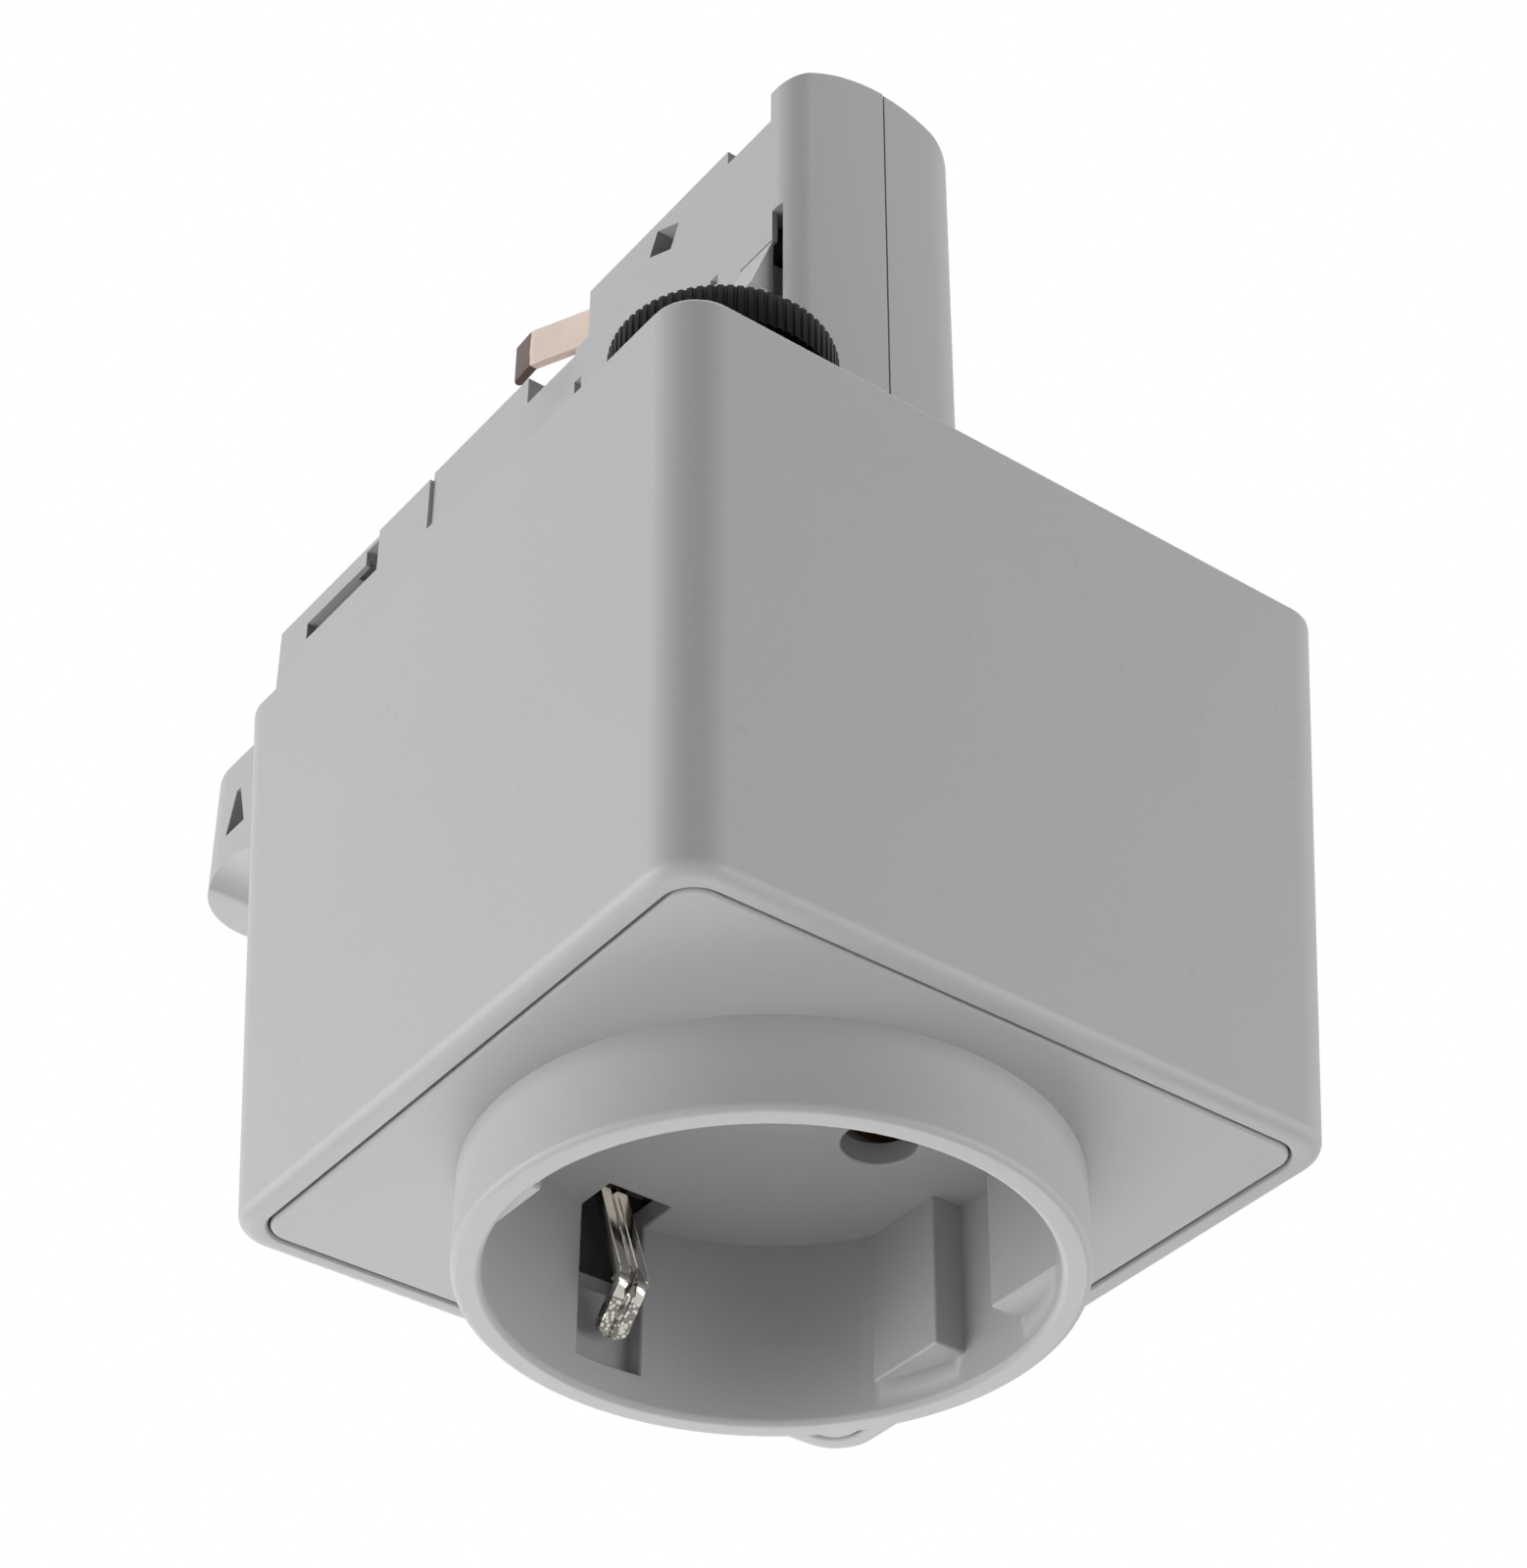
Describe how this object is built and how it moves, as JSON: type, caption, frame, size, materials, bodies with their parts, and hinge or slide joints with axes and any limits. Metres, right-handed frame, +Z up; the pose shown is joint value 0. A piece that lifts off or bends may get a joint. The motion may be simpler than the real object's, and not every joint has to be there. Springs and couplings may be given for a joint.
{
  "type": "track socket adapter",
  "caption": "Grey socket box for an earthed two-pin plug, hung by a foot from a bar that latches into a power track with sprung contacts and a release lever.",
  "frame": {"origin": "on the socket's axis, in the plane of the track's lower face, where the bar's shoulder meets the track", "axes": "+Z up into the track, +X along the bar towards its end with the lock wings, so the release lever is at -X; the plug's pins lie along Y"},
  "size_m": [0.108, 0.0592, 0.1055],
  "materials": {
    "grey_plastic": "fine matte texture",
    "black_plastic": "matte",
    "block_plastic": "matte",
    "contact_brass": "satin",
    "clip_nickel": "nickel plated, satin",
    "blade_copper": "satin copper alloy",
    "screw_steel": "zinc plated",
    "spring_steel": "satin",
    "fuse_glass": "clear",
    "live_insulation": "brown insulation",
    "neutral_insulation": "blue insulation",
    "earth_insulation": "green insulation"
  },
  "bodies": {
    "base": {"housing_shell": "grey_plastic", "top_lid": "grey_plastic", "socket_plate": "grey_plastic", "adapter_shell_front": "grey_plastic", "adapter_shell_back": "grey_plastic", "fuse_holder": "black_plastic", "fuse_nut": "black_plastic", "contact_carrier": "black_plastic", "earth_carrier": "black_plastic", "contact_block": "block_plastic", "live_contact": "contact_brass", "neutral_contact": "contact_brass", "earth_strap": "clip_nickel", "fuse_ends": "clip_nickel", "fuse_tags": "clip_nickel", "lid_screws": "screw_steel", "block_screws": "screw_steel", "shell_screws": "screw_steel", "threaded_nipple": "screw_steel", "lock_washer": "screw_steel", "nipple_nut": "screw_steel", "lever_pin": "screw_steel", "lever_spring": "spring_steel", "fuse_tube": "fuse_glass", "live_lead": "live_insulation", "fuse_lead": "live_insulation", "neutral_lead": "neutral_insulation", "earth_lead": "earth_insulation"},
    "lever": {"release_lever": "grey_plastic"},
    "slider": {"lock_slider": "black_plastic"},
    "wing_front": {"lock_wing_front": "grey_plastic"},
    "wing_back": {"lock_wing_back": "grey_plastic"},
    "blade_live": {"live_blade": "blade_copper"},
    "blade_neutral": {"neutral_blade": "blade_copper"},
    "blade_earth_front": {"earth_blade_front": "blade_copper"},
    "blade_earth_back": {"earth_blade_back": "blade_copper"},
    "cap": {"fuse_cap": "black_plastic"},
    "clip_far": {"earth_clip_far": "clip_nickel"},
    "clip_near": {"earth_clip_near": "clip_nickel"}
  },
  "joints": [
    {"name": "lever_turn", "type": "hinge", "parent": "base", "child": "lever", "pos_m": [-0.053, 0, 0.0049], "axis": [0, 1, 0], "range_deg": [-11.45, 0], "stiffness_Nm_per_rad": 0.05, "springref_deg": 11.46, "deforming": ["lever_spring"]},
    {"name": "slider_slide", "type": "slide", "parent": "base", "child": "slider", "axis": [-1, 0, 0], "range_m": [0, 0.0018]},
    {"name": "wing_front_slide", "type": "slide", "parent": "base", "child": "wing_front", "axis": [0, 1, 0], "range_m": [0, 0.0022]},
    {"name": "wing_back_slide", "type": "slide", "parent": "base", "child": "wing_back", "axis": [0, -1, 0], "range_m": [0, 0.0022]},
    {"name": "live_blade_turn", "type": "hinge", "parent": "base", "child": "blade_live", "pos_m": [-0.0106, -0.0063, 0.025], "axis": [0, 0, 1], "range_deg": [-16, 0], "stiffness_Nm_per_rad": 0.02, "springref_deg": 5.73},
    {"name": "neutral_blade_turn", "type": "hinge", "parent": "base", "child": "blade_neutral", "pos_m": [-0.0106, 0.0063, 0.025], "axis": [0, 0, 1], "range_deg": [0, 16], "stiffness_Nm_per_rad": 0.02, "springref_deg": -5.73},
    {"name": "earth_blade_front_turn", "type": "hinge", "parent": "base", "child": "blade_earth_front", "pos_m": [-0.0282, -0.0063, 0.0037], "axis": [0, 0, 1], "range_deg": [-16, 0], "stiffness_Nm_per_rad": 0.02, "springref_deg": 5.73},
    {"name": "earth_blade_back_turn", "type": "hinge", "parent": "base", "child": "blade_earth_back", "pos_m": [-0.0282, 0.0063, 0.0037], "axis": [0, 0, 1], "range_deg": [0, 16], "stiffness_Nm_per_rad": 0.02, "springref_deg": -5.73},
    {"name": "cap_turn", "type": "hinge", "parent": "base", "child": "cap", "pos_m": [0.02055, -0.01985, -0.018], "axis": [0, 0, 1], "range_deg": [0, 60]},
    {"name": "clip_far_turn", "type": "hinge", "parent": "base", "child": "clip_far", "pos_m": [-0.0202, 0, -0.05455], "axis": [0, 1, 0], "range_deg": [0, 2], "stiffness_Nm_per_rad": 0.1, "springref_deg": -2.86},
    {"name": "clip_near_turn", "type": "hinge", "parent": "base", "child": "clip_near", "pos_m": [0.0202, 0, -0.05455], "axis": [0, 1, 0], "range_deg": [-2, 0], "stiffness_Nm_per_rad": 0.1, "springref_deg": 2.86}
  ],
  "couplings": [
    {"joint": "slider_slide", "follows": "lever_turn", "m_per_rad": -0.009},
    {"joint": "wing_front_slide", "follows": "lever_turn", "m_per_rad": -0.011},
    {"joint": "wing_back_slide", "follows": "lever_turn", "m_per_rad": -0.011}
  ]
}
